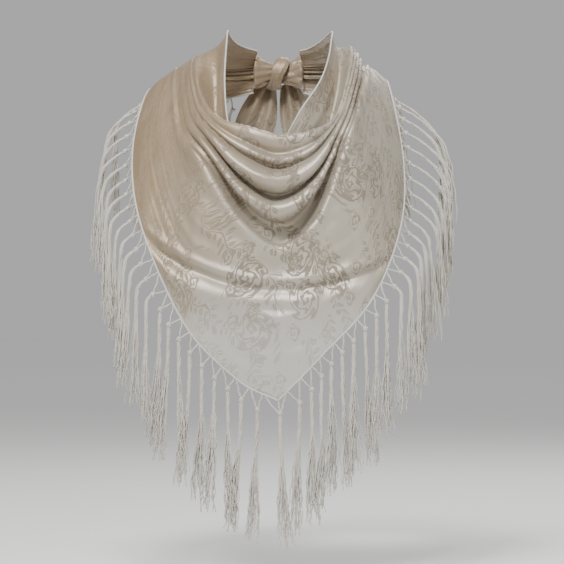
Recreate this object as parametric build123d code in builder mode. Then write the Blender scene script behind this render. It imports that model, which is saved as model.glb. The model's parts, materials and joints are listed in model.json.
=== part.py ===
from build123d import *

import math
import os

# A fringed silk shawl, draped as it is worn: the middle of its long edge falls in a cowl in
# front of the neck, the point of the triangle hangs over the chest, and the two ends go over
# the shoulders and are tied at the nape. Millimetres, +Z up, the wearer faces -Y, +X is to the
# right as seen from in front, and the origin is in the middle of the neck at its base.

# ---- driving dimensions: the silk as it lies on the wearer
neck_half_width = 57.0  # half the width of the opening at the sides of the neck
collar_rise = 78.0  # top of the standing collar above the neck's base
cowl_stand = 35.0  # how far the cowl's rim stands in front of the opening for the neck
cowl_drop = 37.0  # lowest place of the cowl's rim
bib_stand = 20.0  # how far the bib's fold stands in front of the cowl's rim
bib_drop = 155.0  # lowest place of the fold where the bib begins
point_drop = 316.0  # the triangle's point below the neck's base
left_stand = 46.0  # how far the hem at the side stands past the bib, left as seen from in front
right_stand = 24.0
chest_bulge = 4.0  # how far the bib is rounded outwards between its fold and the hem
full_bulge_length = 80.0  # where fold and hem are nearer than this, the cloth is rounded less
cloth_thickness = 1.6  # the silk and the air held in its folds

# ---- driving dimensions: hems, net and knots
hem_diameter = 2.4
neck_hem_diameter = 2.0
hem_gap = 0.8  # air between a hem and the cloth's cut edge
hem_sample = 12.0  # length of the straight runs a hem is made of
hem_arc_share = 0.45  # each of its arcs takes up this share of the shorter run beside it
hem_end_share = 0.006  # hems stop this share of their length short of the nape knot
net_diameter = 1.3
net_drop = 12.0  # from the hem to the row of knots
net_gap = 0.35  # air at both ends of every leg of the net
net_side_step = 3.5  # a slanting leg leaves the hem this far before its neighbour's upright leg
net_slant = 0.8  # share of the direction across the hem in a leg's direction, the rest is down

# ---- driving dimensions: tassels
tassels_per_side = 24  # from the point to the top of the shoulder
back_tassels_per_side = 7  # from the top of the shoulder to the nape
tassel_length = 146.0  # from the knot's centre to the ends of the threads
knot_radius = 2.5
bundle_radius = 2.3  # a tassel's threads, gathered
skirt_radius = 3.1  # and where they part at the end
skirt_length = 50.0
skirt_share = 0.3  # at most this share of the length that falls freely
left_carry = 32.0  # how far the topmost tassel is carried out over the shoulder
right_carry = 56.0
first_carried = 10  # tassels from this one up lie over the shoulder before they fall
least_carry = 9.0
carry_slope = 0.6  # a carried tassel's fall per length carried out
bend_share = 1.05  # radius of the bend over the shoulder, per length carried out

# ---- driving dimensions: the tied ends at the nape
knot_depth = 30.0
knot_height = 40.0
knot_stand = 34.0  # from the opening for the neck to the middle of the tied knot
knot_rise = 40.0
knot_rounding = 11.0
knot_gap = 0.5
tail_length = 110.0
tail_width = 46.0
tail_widest = 0.45  # share of its length at which a tail is widest
tail_top_width = 20.0
tail_thickness = 3.0
tail_stand = 12.0  # from the middle of the knot back to the middle of a tail
tail_side_step = 13.0  # from the middle to the middle of a tail's top
tail_splay = 17.0  # degrees

# ---- what follows: distances from the neck's axis
cowl_reach = neck_half_width + cowl_stand
bib_reach = cowl_reach + bib_stand
left_spread = bib_reach + left_stand
right_spread = bib_reach + right_stand
knot_reach = neck_half_width + knot_stand
tail_reach = knot_reach + tail_stand

# ---- the cloth's outlines round the neck, as shares of the dimensions above
angles = [0, 20, 40, 58, 75, 90, 115, 140, 155, 163]  # degrees from the front, the last at the nape
collar_left = [1.30, 1.37, 1.38, 1.19, 1.02, 0.97, 1.02, 1.19, 1.34, 1.42]
collar_right = [1.30, 1.33, 1.23, 1.12, 1.05, 1.03, 1.05, 1.19, 1.34, 1.42]
collar_left_rise = [-0.64, -0.59, -0.41, 0.23, 0.80, 1.00, 0.97, 0.88, 0.84, 0.82]
collar_right_rise = [-0.64, -0.10, 0.28, 0.62, 0.92, 1.00, 0.99, 0.90, 0.84, 0.82]
valley_left = [1.37, 1.40, 1.47, 1.40, 1.26, 1.22, 1.16, 1.30, 1.43, 1.51]
valley_right = [1.37, 1.40, 1.37, 1.28, 1.20, 1.14, 1.14, 1.30, 1.43, 1.51]
valley_left_rise = [-0.91, -0.85, -0.72, -0.26, 0.38, 0.74, 0.77, 0.77, 0.75, 0.74]
valley_right_rise = [-0.91, -0.72, -0.48, 0.02, 0.45, 0.74, 0.79, 0.77, 0.75, 0.74]
rim_left = [1.00, 1.03, 1.06, 1.04, 1.00, 0.96, 0.87, 0.89, 0.95, 0.98]
rim_right = [1.00, 1.03, 1.00, 0.93, 0.88, 0.85, 0.85, 0.87, 0.94, 0.98]
rim_left_drop = [1.00, 0.76, 0.49, -0.14, -0.97, -1.40, -1.35, -1.24, -1.31, -1.35]
rim_right_drop = [1.00, 0.89, 0.49, -0.54, -1.30, -1.68, -1.57, -1.35, -1.35, -1.35]
fold_left = [1.00, 1.05, 1.11, 1.06, 1.00, 0.98, 0.96, 0.89, 0.85, 0.83]
fold_right = [1.00, 1.04, 1.03, 0.90, 0.85, 0.84, 0.88, 0.86, 0.84, 0.83]
fold_left_drop = [1.00, 0.81, 0.41, 0.23, -0.03, -0.23, -0.23, -0.22, -0.22, -0.22]
fold_right_drop = [1.00, 0.81, 0.23, 0.00, -0.17, -0.26, -0.26, -0.23, -0.22, -0.22]
hem_left = [0.77, 0.80, 0.96, 1.07, 1.02, 0.91, 0.81, 0.68, 0.63, 0.60]
hem_right = [0.90, 0.93, 1.09, 1.11, 1.02, 0.89, 0.87, 0.76, 0.72, 0.70]
hem_left_drop = [1.00, 0.93, 0.75, 0.43, 0.17, -0.03, -0.02, -0.03, -0.05, -0.06]
hem_right_drop = [1.00, 0.86, 0.68, 0.44, 0.20, -0.05, -0.04, -0.04, -0.05, -0.06]


def radial_plane(angle):
    """Upright plane through the neck's axis: local x outwards, local y up. Angles are counted
    from the front, negative to the left as seen from in front."""
    a = math.radians(angle)
    outwards = Vector(math.sin(a), -math.cos(a), 0)
    return Plane(origin=(0, 0, 0), x_dir=outwards, z_dir=outwards.cross(Vector(0, 0, 1)))


def section(k, left):
    """The cloth's profile in the radial plane k, from the collar's edge down to the hem."""
    collar, collar_z = (collar_left, collar_left_rise) if left else (collar_right, collar_right_rise)
    valley, valley_z = (valley_left, valley_left_rise) if left else (valley_right, valley_right_rise)
    rim, rim_z = (rim_left, rim_left_drop) if left else (rim_right, rim_right_drop)
    fold, fold_z = (fold_left, fold_left_drop) if left else (fold_right, fold_right_drop)
    hem, hem_z = (hem_left, hem_left_drop) if left else (hem_right, hem_right_drop)
    spread = left_spread if left else right_spread
    fold_place = Vector(fold[k] * bib_reach, -fold_z[k] * bib_drop)
    hem_place = Vector(hem[k] * spread, -hem_z[k] * point_drop)
    halfway = (fold_place + hem_place) * 0.5
    bulge = min(1.0, (hem_place - fold_place).length / full_bulge_length) * chest_bulge
    side = Vector(fold_place.Y - hem_place.Y, hem_place.X - fold_place.X).normalized()
    return [
        Vector(collar[k] * neck_half_width, collar_z[k] * collar_rise),
        Vector(valley[k] * neck_half_width, valley_z[k] * collar_rise),
        Vector(rim[k] * cowl_reach, -rim_z[k] * cowl_drop),
        fold_place,
        halfway + side * bulge,
        hem_place,
    ]


def beside(profile, distance):
    """The profile moved sideways by distance, so that two of them bound the cloth."""
    moved = []
    for i, place in enumerate(profile):
        before = profile[max(i - 1, 0)]
        after = profile[min(i + 1, len(profile) - 1)]
        way_in = (place - before).normalized() if i > 0 else (after - place).normalized()
        way_out = (after - place).normalized() if i < len(profile) - 1 else way_in
        way = (way_in + way_out).normalized()
        moved.append(place + Vector(-way.Y, way.X) * distance)
    return moved


def finish(builder, name):
    """Label a finished piece and write it."""
    builder.part.label = name
    export_step(builder.part, f"parts/{name}.step")


os.makedirs("parts", exist_ok=True)

# ---- silk_panel: the triangle of silk, lofted through its radial sections
with BuildPart() as silk_panel:
    stations = [(k, True) for k in range(len(angles) - 1, 0, -1)]
    stations += [(k, False) for k in range(len(angles))]
    for k, left in stations:
        profile = section(k, left)
        with BuildSketch(radial_plane(-angles[k] if left else angles[k])):
            with BuildLine():
                outer = Spline(*beside(profile, cloth_thickness / 2))
                inner = Spline(*beside(profile, -cloth_thickness / 2))
                Line(outer @ 0, inner @ 0)
                Line(outer @ 1, inner @ 1)
            make_face()
    loft()
finish(silk_panel, "silk_panel")


# ---- where the cloth's long edges run
def long_edges():
    """The cloth's four long edges, the lowest first."""
    return silk_panel.edges().filter_by(lambda edge: edge.length > 2 * bib_drop).sort_by(Axis.Z)


silk_outside = silk_panel.faces().sort_by(SortBy.AREA)[-1]
hem_edge = max(long_edges()[:2], key=lambda edge: edge.length)
collar_edge = max(long_edges()[2:], key=lambda edge: edge.length)
UP = Vector(0, 0, 1)
halvings = 30  # of the range in which a place on an edge is looked for


def edge_frame(edge, share):
    """Middle of the cloth at a share of its edge's length, and the unit directions there:
    along the edge towards the right, out of the cloth's face, and down the cloth."""
    place = edge.position_at(share)
    run = edge.tangent_at(share)
    face_out = silk_outside.normal_at(place)
    if face_out.dot(Vector(place.X, place.Y, 0)) < 0:
        face_out = face_out * -1
    if run.cross(face_out).Z > 0:
        run = run * -1
    down = run.cross(face_out).normalized()
    return place - face_out * (cloth_thickness / 2), run, face_out, down


def find_share(edge, measure, low, high):
    """The share of the edge between low and high where measure changes its sign."""
    rising = measure(edge.position_at(high)) > 0
    for _ in range(halvings):
        middle = (low + high) / 2
        if (measure(edge.position_at(middle)) > 0) == rising:
            high = middle
        else:
            low = middle
    return (low + high) / 2


tip_share = find_share(hem_edge, lambda place: place.X, 0.0, 1.0)
right_top_share = find_share(hem_edge, lambda place: place.Y, 0.0, tip_share)
left_top_share = find_share(hem_edge, lambda place: place.Y, tip_share, 1.0)
hem_radius = hem_diameter / 2
net_radius = net_diameter / 2


def hem_centre(share):
    place, run, face_out, down = edge_frame(hem_edge, share)
    return place + down * (hem_radius + hem_gap)


def collar_centre(share):
    place, run, face_out, down = edge_frame(collar_edge, share)
    return place - down * (neck_hem_diameter / 2 + hem_gap)


def tangent_radii(places):
    """A radius for every corner of a path, so that tangent arcs take up most of the runs."""
    radii = []
    for before, place, after in zip(places, places[1:], places[2:]):
        way_in, way_out = place - before, after - place
        half_turn = math.radians(way_in.get_angle(way_out)) / 2
        arc = hem_arc_share * min(way_in.length, way_out.length)
        radii.append(arc / math.tan(half_turn))
    return radii


def tube(places, radius):
    """A round bar along straight runs joined by tangent arcs."""
    with BuildPart() as bar:
        with BuildLine() as path:
            FilletPolyline(*places, radius=tangent_radii(places))
        with BuildSketch(Plane(origin=path.line @ 0, z_dir=path.line % 0)):
            Circle(radius)
        sweep()
    return bar


def edge_tube(edge, centre, first, last, radius):
    """A round bar beside the part of an edge between two shares of its length."""
    count = max(3, round(abs(last - first) * edge.length / hem_sample))
    shares = [first + (last - first) * k / count for k in range(count + 1)]
    return tube([centre(share) for share in shares], radius)


# ---- neck_hem, left_hem, right_hem: narrow rolled hems beside the cloth's cut edges
tip_step = (hem_radius + hem_gap) / hem_edge.length  # they stop short of each other at the point
neck_hem = edge_tube(
    collar_edge, collar_centre, hem_end_share, 1 - hem_end_share, neck_hem_diameter / 2
)
finish(neck_hem, "neck_hem")
right_hem = edge_tube(hem_edge, hem_centre, hem_end_share, tip_share - tip_step, hem_radius)
finish(right_hem, "right_hem")
left_hem = edge_tube(hem_edge, hem_centre, 1 - hem_end_share, tip_share + tip_step, hem_radius)
finish(left_hem, "left_hem")


def tassel_share(left, k):
    """Where tassel k hangs, as a share of the hem edge: 0 at the point, then up one side."""
    top = left_top_share if left else right_top_share
    end = 1 - hem_end_share if left else hem_end_share
    if k <= tassels_per_side:
        return tip_share + (top - tip_share) * k / tassels_per_side
    beyond = (k - tassels_per_side) / (back_tassels_per_side + 1)
    return top + (end - top) * beyond


def net_way(share):
    """Direction in which the net leaves the hem."""
    place, run, face_out, down = edge_frame(hem_edge, share)
    return (down * net_slant - UP * (1 - net_slant)).normalized()


def knot_place(share):
    return hem_centre(share) + net_way(share) * net_drop


def leg(share, end):
    """A straight thread of the net from the hem to a knot's middle, clear of both."""
    place, run, face_out, down = edge_frame(hem_edge, share)
    start = hem_centre(share)
    way = (end - start).normalized()
    across = way.cross(run).length
    first_gap = (hem_radius + net_radius + net_gap) / across
    length = (end - start).length - first_gap - knot_radius - net_gap
    with Locations(Plane(origin=start + way * first_gap, z_dir=way)):
        Cylinder(net_radius, length, align=(Align.CENTER, Align.CENTER, Align.MIN))


def net(left):
    """The row of legs that ties the hem to every knot of one side."""
    with BuildPart() as legs:
        last = tassels_per_side + back_tassels_per_side
        for k in range(1, last + 1):
            share = tassel_share(left, k)
            leg(share, knot_place(share))
            if k < last:
                above = tassel_share(left, k + 1)
                step = (share - above) * net_side_step / (abs(share - above) * hem_edge.length)
                leg(above + step, knot_place(share))
        beside_point = tassel_share(left, 1)
        step = (tip_share - beside_point) / abs(tip_share - beside_point)
        step = step * net_side_step / hem_edge.length
        leg(beside_point + step, knot_place(tip_share))
    return legs


# ---- left_net, right_net: legs of silk thread from the hem to the row of knots
left_net = net(True)
finish(left_net, "left_net")
right_net = net(False)
finish(right_net, "right_net")


def tassel_path(left, k):
    """Middle line of a tassel: its knot, the shoulder it is carried over, and its end."""
    start = knot_place(tassel_share(left, k))
    outwards = Vector(start.X, start.Y, 0).normalized()
    carry = 0.0
    if first_carried <= k <= tassels_per_side:
        most = left_carry if left else right_carry
        rise = (k - first_carried) / (tassels_per_side - first_carried)
        carry = least_carry + (most - least_carry) * rise
    if k > tassels_per_side:
        carry = least_carry
    if carry == 0.0:
        return [start, start - UP * tassel_length]
    over = start + outwards * carry - UP * (carry * carry_slope)
    return [start, over, over - UP * (tassel_length - (over - start).length)]


def tassels(paths):
    """Tassels along the given middle lines: knot, gathered threads and skirt of each."""
    with BuildPart() as bunch:
        for places in paths:
            with Locations(places[0]):
                Sphere(knot_radius)
            with BuildLine() as path:
                if len(places) == 2:
                    Line(*places)
                else:
                    FilletPolyline(*places, radius=bend_share * (places[1] - places[0]).length)
            with BuildSketch(Plane(origin=path.line @ 0, z_dir=path.line % 0)):
                Circle(bundle_radius)
            sweep()
            fall = (places[-1] - places[-2]).length
            with Locations(places[-1]):
                Cone(
                    skirt_radius,
                    bundle_radius,
                    min(skirt_length, skirt_share * fall),
                    align=(Align.CENTER, Align.CENTER, Align.MIN),
                )
    return bunch


# ---- point_tassel and the tassels of both sides, counted from the point upwards
point_tassel = tassels([tassel_path(True, 0)])
finish(point_tassel, "point_tassel")

for left, side in ((True, "left"), (False, "right")):
    for k in range(1, tassels_per_side + 1):
        finish(tassels([tassel_path(left, k)]), f"{side}_tassel_{k:02d}")

# ---- left_back_tassels, right_back_tassels: the fringe that lies on the back
last_tassel = tassels_per_side + back_tassels_per_side
for left, side in ((True, "left"), (False, "right")):
    back_paths = [tassel_path(left, k) for k in range(tassels_per_side + 1, last_tassel + 1)]
    finish(tassels(back_paths), f"{side}_back_tassels")

# ---- nape_knot: the two ends, tied
end_angle = math.radians(180 - angles[-1])
knot_width = 2 * ((knot_reach - knot_depth / 2) * math.tan(end_angle) - knot_gap)
with BuildPart() as nape_knot:
    with Locations((0, knot_reach, knot_rise)):
        Box(knot_width, knot_depth, knot_height)
    fillet(nape_knot.edges(), knot_rounding)
finish(nape_knot, "nape_knot")


def tail(side):
    """One hanging end under the knot; side is -1 for left and +1 for right."""
    splay = math.radians(tail_splay)
    top = (side * tail_side_step, tail_reach, knot_rise - knot_height / 2 - knot_gap)
    outwards = (math.cos(splay), 0, side * math.sin(splay))
    outline = [
        (-tail_top_width / 2, 0),
        (tail_top_width / 2, 0),
        (tail_width / 2, -tail_widest * tail_length),
        (0, -tail_length),
        (-tail_width / 2, -tail_widest * tail_length),
    ]
    with BuildPart() as end:
        with BuildSketch(Plane(origin=top, x_dir=outwards, z_dir=(0, -1, 0))):
            with BuildLine():
                Polyline(*outline, close=True)
            make_face()
        extrude(amount=tail_thickness / 2, both=True)
    return end


# ---- left_tail, right_tail
left_tail = tail(-1)
finish(left_tail, "left_tail")
right_tail = tail(+1)
finish(right_tail, "right_tail")
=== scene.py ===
"""A fringed silk shawl draped round a neck: woven rose silk, rolled hems, a knotted net and tassels."""

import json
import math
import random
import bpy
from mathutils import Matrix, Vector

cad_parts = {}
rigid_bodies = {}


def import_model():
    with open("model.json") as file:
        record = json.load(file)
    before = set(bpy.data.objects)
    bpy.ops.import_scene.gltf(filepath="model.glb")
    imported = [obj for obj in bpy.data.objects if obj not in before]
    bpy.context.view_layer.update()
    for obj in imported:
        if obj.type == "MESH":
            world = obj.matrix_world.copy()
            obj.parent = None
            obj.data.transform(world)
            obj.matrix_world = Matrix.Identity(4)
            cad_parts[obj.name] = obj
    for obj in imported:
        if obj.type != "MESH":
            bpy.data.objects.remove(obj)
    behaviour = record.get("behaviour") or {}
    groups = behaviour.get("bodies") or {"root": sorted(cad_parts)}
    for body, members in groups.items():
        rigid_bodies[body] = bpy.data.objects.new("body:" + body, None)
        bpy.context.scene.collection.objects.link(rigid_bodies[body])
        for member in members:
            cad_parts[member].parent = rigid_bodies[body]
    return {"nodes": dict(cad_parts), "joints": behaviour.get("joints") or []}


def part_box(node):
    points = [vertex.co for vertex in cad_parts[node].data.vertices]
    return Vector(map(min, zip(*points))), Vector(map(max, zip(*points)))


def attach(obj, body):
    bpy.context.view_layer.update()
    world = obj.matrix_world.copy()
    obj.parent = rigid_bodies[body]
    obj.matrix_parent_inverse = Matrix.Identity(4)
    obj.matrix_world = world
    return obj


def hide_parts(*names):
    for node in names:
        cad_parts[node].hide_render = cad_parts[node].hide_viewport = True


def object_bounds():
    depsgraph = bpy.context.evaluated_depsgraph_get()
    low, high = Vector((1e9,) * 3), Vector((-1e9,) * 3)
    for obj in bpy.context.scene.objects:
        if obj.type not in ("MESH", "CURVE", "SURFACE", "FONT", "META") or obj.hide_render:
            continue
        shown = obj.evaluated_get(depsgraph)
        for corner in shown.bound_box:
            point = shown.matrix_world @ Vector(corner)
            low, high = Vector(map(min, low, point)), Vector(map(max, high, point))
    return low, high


bl_info = {
    "name": "Fringed silk shawl",
    "version": (1, 0, 0),
    "blender": (4, 5, 0),
    "location": "View3D > Sidebar > Shawl",
    "description": "Builds a draped silk shawl with a cowl, a rose weave and a knotted fringe",
    "category": "Object",
}

import bpy
import numpy as np
from bpy.props import FloatProperty, FloatVectorProperty, IntProperty, PointerProperty
from mathutils import Vector, noise

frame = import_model()
CAD_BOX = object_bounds()
MM = 0.001

# The outer sizes follow the frame: its silk's box and its tassels' joints. A hem is at its widest a
# little less than its spread, and the CAD panel's thickness makes the box a little higher.
SILK_LOW, SILK_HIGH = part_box("silk_panel")
LEFT_SPREAD = -SILK_LOW[0] * 1.01
RIGHT_SPREAD = SILK_HIGH[0] * 1.003
POINT_DROP = -SILK_LOW[2] - 0.3 * MM
COLLAR_RISE = SILK_HIGH[2] - 1.1 * MM
# The inner sizes are those of the neck, the cowl and the bib.
NECK_HALF_WIDTH = 57 * MM
COWL_REACH = 92 * MM
COWL_DROP = 37 * MM
BIB_REACH = 113 * MM
BIB_DROP = 155 * MM
KNOTS = {joint["child"]: joint for joint in frame["joints"]}
SKIRT_RADIUS = 3.1 * MM  # of a CAD tassel's lower end
KNOT_RADIUS = 2.5 * MM  # of a CAD tassel's knot

# Outlines of the draped cloth in upright planes round the neck, as shares of the sizes above.
# Degrees from the front, then each line's distance from the neck's axis and its height.
ANGLES = [0, 20, 40, 58, 75, 90, 115, 140, 155, 163]
COLLAR = {
    "left": [1.30, 1.37, 1.38, 1.19, 1.02, 0.97, 1.02, 1.19, 1.34, 1.42],
    "right": [1.30, 1.33, 1.23, 1.12, 1.05, 1.03, 1.05, 1.19, 1.34, 1.42],
    "left_rise": [-0.64, -0.59, -0.41, 0.23, 0.80, 1.00, 0.97, 0.88, 0.84, 0.82],
    "right_rise": [-0.64, -0.10, 0.28, 0.62, 0.92, 1.00, 0.99, 0.90, 0.84, 0.82],
}
VALLEY = {
    "left": [1.37, 1.40, 1.47, 1.40, 1.26, 1.22, 1.16, 1.30, 1.43, 1.51],
    "right": [1.37, 1.40, 1.37, 1.28, 1.20, 1.14, 1.14, 1.30, 1.43, 1.51],
    "left_rise": [-0.91, -0.85, -0.72, -0.26, 0.38, 0.74, 0.77, 0.77, 0.75, 0.74],
    "right_rise": [-0.91, -0.72, -0.48, 0.02, 0.45, 0.74, 0.79, 0.77, 0.75, 0.74],
}
RIM = {
    "left": [1.00, 1.03, 1.06, 1.04, 1.00, 0.96, 0.87, 0.89, 0.95, 0.98],
    "right": [1.00, 1.03, 1.00, 0.93, 0.88, 0.85, 0.85, 0.87, 0.94, 0.98],
    "left_rise": [-1.00, -0.76, -0.49, 0.14, 0.97, 1.40, 1.35, 1.24, 1.31, 1.35],
    "right_rise": [-1.00, -0.89, -0.49, 0.54, 1.30, 1.68, 1.57, 1.35, 1.35, 1.35],
}
FOLD = {
    "left": [1.00, 1.05, 1.11, 1.06, 1.00, 0.98, 0.96, 0.89, 0.85, 0.83],
    "right": [1.00, 1.04, 1.03, 0.90, 0.85, 0.84, 0.88, 0.86, 0.84, 0.83],
    "left_rise": [-1.00, -0.81, -0.41, -0.23, 0.03, 0.23, 0.23, 0.22, 0.22, 0.22],
    "right_rise": [-1.00, -0.81, -0.23, 0.00, 0.17, 0.26, 0.26, 0.23, 0.22, 0.22],
}
HEM = {
    "left": [0.77, 0.80, 0.96, 1.07, 1.02, 0.91, 0.81, 0.68, 0.63, 0.60],
    "right": [0.90, 0.93, 1.09, 1.11, 1.02, 0.89, 0.87, 0.76, 0.72, 0.70],
    "left_rise": [-1.00, -0.93, -0.75, -0.43, -0.17, 0.03, 0.02, 0.03, 0.05, 0.06],
    "right_rise": [-1.00, -0.86, -0.68, -0.44, -0.20, 0.05, 0.04, 0.04, 0.05, 0.06],
}
# The cowl's rolls between its rim and the bib's fold: share of the way down, then how far the
# cloth stands out there, in millimetres where that way is ROLL_SPAN long.
ROLL_SPAN = 120 * MM
ROLL_TILT = 0.05  # how much higher the rolls run on the right, as a share of that way
ROLL_SWAY = 0.018  # how much they wander, as such a share
LOWER_ROLLS = 0.35  # share from which on they are calmed on both shoulders
ROLLS = [
    (0.06, 2.5), (0.12, 0.5), (0.165, -4.0), (0.20, 2.5), (0.245, 6.5), (0.28, 4.0),
    (0.285, -2.0), (0.32, -0.5), (0.37, 8.0), (0.43, 12.0), (0.49, 9.5), (0.53, 1.0),
    (0.515, -8.0), (0.55, -9.5), (0.60, -1.5), (0.67, 5.0), (0.735, 3.5), (0.78, -4.0),
    (0.765, -13.0), (0.80, -17.0), (0.88, -18.0), (0.945, -17.0), (0.985, -11.0),
]
BULGE_SPAN = 80 * MM
BIB_BULGE = 4 * MM  # how far the bib swells where fold and hem are BULGE_SPAN or more apart
CREASE_HEIGHT = -201 * MM  # of the main crease across the bib, at its middle
EDGE_EASE = 0.05  # share of the rows at each edge over which wrinkles fade away

# Each tassel draws its shape between these limits.
CARRY_SLOPE = 0.6  # fall of a carried tassel per length carried out over the shoulder
BEND_SHARE = 1.05  # radius of its bend, per length of the thread carried out
CARRY_SPREAD = (0.84, 1.08)  # share of the CAD tassel's carry that it takes
DROP_SPREAD = (0.95, 1.02)  # share of its length that it takes
LEAN = (-12, 12)  # sideways drift of its end, in millimetres
STAND = (-2, 8)  # outward drift of its end, in millimetres
PARTING = (0.22, 0.42)  # share of its length at which the threads part
TWIST = (16, 26)  # turn of the twisted stretch, in radians for a whole length
WILD_CHANCE, WILD_SPREAD = 0.12, 1.7  # some threads stray further than others
KNOT_TURNS = 2.6
TASSEL_STEPS, KNOT_STEPS, NET_STEPS = 44, 40, 12  # points along a thread
TASSEL_SEED, BACK_SEEDS, NET_SEED = 100, (("left", 500), ("right", 600)), 90

# The tied ends. The lobes and the wrap are shaped in a box of the knot's half sizes.
LOBE_REACH = 1.25
WAIST = 0.50
WRAP_RADIUS, WRAP_THICKNESS = 0.80, 0.13
TAIL_APART = 11.5 * MM
TAIL_TUCK = 8 * MM  # how far a tail reaches up into the knot
TAIL_SPLAY = math.radians(17)
TAIL_NARROW, TAIL_WIDE = 9 * MM, 22.5 * MM  # half widths at the knot and where it is widest
TAIL_WIDEST = 0.45  # share of its length
TAIL_TIP = 0.4 * MM
TAIL_PLEATS = 3.4 * MM

FLOOR_GAP, FLOOR_RADIUS = 30 * MM, 12.0
FAR_FLOOR = (0.99, 0.99, 0.99, 1.0)  # where the floor meets the sky
WORLD, WORLD_STRENGTH = (0.94, 0.94, 0.94, 1.0), 0.5
# Name, place, aim, size and power of each light.
LIGHTS = (
    ("key", (-0.35, -1.25, 1.45), (0, -0.05, -0.15), 0.5, 56),
    ("fill", (1.5, -1.5, 0.1), (0, -0.05, -0.15), 1.2, 7),
    ("rim", (0.6, 1.3, 1.3), (0, 0, -0.1), 0.9, 22),
)
CAMERA_PLACE = (4 * MM, -3.0, -193 * MM)
CLOTH_DEPTH = 70 * MM  # how far in front of the neck's axis the view is FRAME_WIDTH wide
FRAME_WIDTH = 598 * MM
SENSOR_WIDTH = 36.0  # millimetres
VIEW_LIMIT = 50.0


class ShawlSizes(bpy.types.PropertyGroup):
    """Sizes of the shawl's soft pieces."""

    leg: FloatProperty(
        name="Short edge", description="Length of each fringed edge, without the tied ends",
        default=0.60, min=0.4, max=0.9, unit="LENGTH",
    )
    silk_thickness: FloatProperty(
        name="Silk thickness", description="Thickness of the woven silk",
        default=0.6 * MM, min=0.2 * MM, max=2 * MM, unit="LENGTH",
    )
    fold_depth: FloatProperty(
        name="Fold depth", description="How far the cowl's rolls stand out, as a share",
        default=1.3, min=0.0, max=1.5,
    )
    wrinkle: FloatProperty(
        name="Wrinkles", description="Height of the small wrinkles",
        default=0.9 * MM, min=0.0, max=4 * MM, unit="LENGTH",
    )
    hem_radius: FloatProperty(
        name="Hem radius", description="Radius of the rolled hem",
        default=1.1 * MM, min=0.5 * MM, max=3 * MM, unit="LENGTH",
    )
    thread_radius: FloatProperty(
        name="Thread radius", description="Radius of one thread of the fringe",
        default=0.7 * MM, min=0.2 * MM, max=1.5 * MM, unit="LENGTH",
    )
    threads: IntProperty(
        name="Threads", description="Threads in one tassel", default=24, min=4, max=24,
    )
    columns: IntProperty(
        name="Columns", description="Faces round the neck", default=300, min=60, max=600,
    )
    rows: IntProperty(
        name="Rows", description="Faces from the collar to the hem", default=150, min=40, max=300,
    )


class ShawlColours(bpy.types.PropertyGroup):
    """Colours of the silk and its threads."""

    silver: FloatVectorProperty(
        name="Ground", description="Silk over the cowl and the right side", subtype="COLOR",
        default=(0.41, 0.365, 0.295), min=0, max=1,
    )
    # Paler silk towards the point: painted sheen of the satin.
    point_sheen: FloatVectorProperty(
        name="Point", description="Silk towards the point", subtype="COLOR",
        default=(0.53, 0.505, 0.465), min=0, max=1,
    )
    # Darker, tan silk on the left shoulder: painted shade of the satin, used for the ground and the
    # roses there.
    tan: FloatVectorProperty(
        name="Shoulder", description="Silk where it is warmest", subtype="COLOR",
        default=(0.30, 0.215, 0.13), min=0, max=1,
    )
    rose: FloatVectorProperty(
        name="Rose", description="The matte weave of roses and leaves", subtype="COLOR",
        default=(0.165, 0.13, 0.088), min=0, max=1,
    )
    thread: FloatVectorProperty(
        name="Thread", description="The fringe's silk thread", subtype="COLOR",
        default=(0.66, 0.62, 0.55), min=0, max=1,
    )
    hem: FloatVectorProperty(
        name="Hem", description="The rolled hem", subtype="COLOR",
        default=(0.68, 0.65, 0.59), min=0, max=1,
    )
    floor: FloatVectorProperty(
        name="Floor", description="The floor near the shawl", subtype="COLOR",
        default=(0.86, 0.855, 0.84), min=0, max=1,
    )


# ---- curves


def smooth_through(knots, values, at):
    """Values at places `at` of the smooth curve through (knots, values), by cubic Hermite."""
    knots, values, at = (np.asarray(x, float) for x in (knots, values, at))
    slope = np.gradient(values, knots)
    k = np.clip(np.searchsorted(knots, at, side="right") - 1, 0, len(knots) - 2)
    span = knots[k + 1] - knots[k]
    f = (at - knots[k]) / span
    g = 1 - f
    return (
        values[k] * g * g * (1 + 2 * f) + values[k + 1] * f * f * (3 - 2 * f)
        + span * (slope[k] * f * g * g - slope[k + 1] * g * f * f)
    )


def line_round_neck(outline, angles, left_reach, right_reach, height, pointed=False):
    """Distance from the axis and height of one outline at signed angles, negative to the left.
    A pointed outline comes down to a corner at the front."""
    knots = [-a for a in reversed(ANGLES[1:])] + ANGLES
    left, right = np.array(outline["left"]) * left_reach, np.array(outline["right"]) * right_reach
    far = smooth_through(knots, [*left[:0:-1], (left[0] + right[0]) / 2, *right[1:]], angles)
    left_up, right_up = (np.array(outline[side + "_rise"]) * height for side in ("left", "right"))
    if pointed:
        sides = [smooth_through(ANGLES, up, np.abs(angles)) for up in (left_up, right_up)]
        return far, np.where(angles > 0, sides[1], sides[0])
    return far, smooth_through(knots, [*left_up[:0:-1], *right_up], angles)


def resample(places, count):
    """count + 1 places at even distances along the smooth curve through the given ones."""
    places = np.asarray(places, float)
    gaps = np.maximum(np.linalg.norm(np.diff(places, axis=0), axis=1), 1e-6)
    knots = np.concatenate([[0], np.cumsum(np.sqrt(gaps))])
    fine = np.linspace(0, knots[-1], count * 6)
    curve = np.stack([smooth_through(knots, places[:, i], fine) for i in range(places.shape[1])], 1)
    run = np.concatenate([[0], np.cumsum(np.linalg.norm(np.diff(curve, axis=0), axis=1))])
    even = np.linspace(0, run[-1], count + 1)
    return np.stack([np.interp(even, run, curve[:, i]) for i in range(places.shape[1])], 1)


def bump_at(x, middle, width):
    """A soft hump of height 1."""
    return np.exp(-(((x - middle) / width) ** 2))


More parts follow.
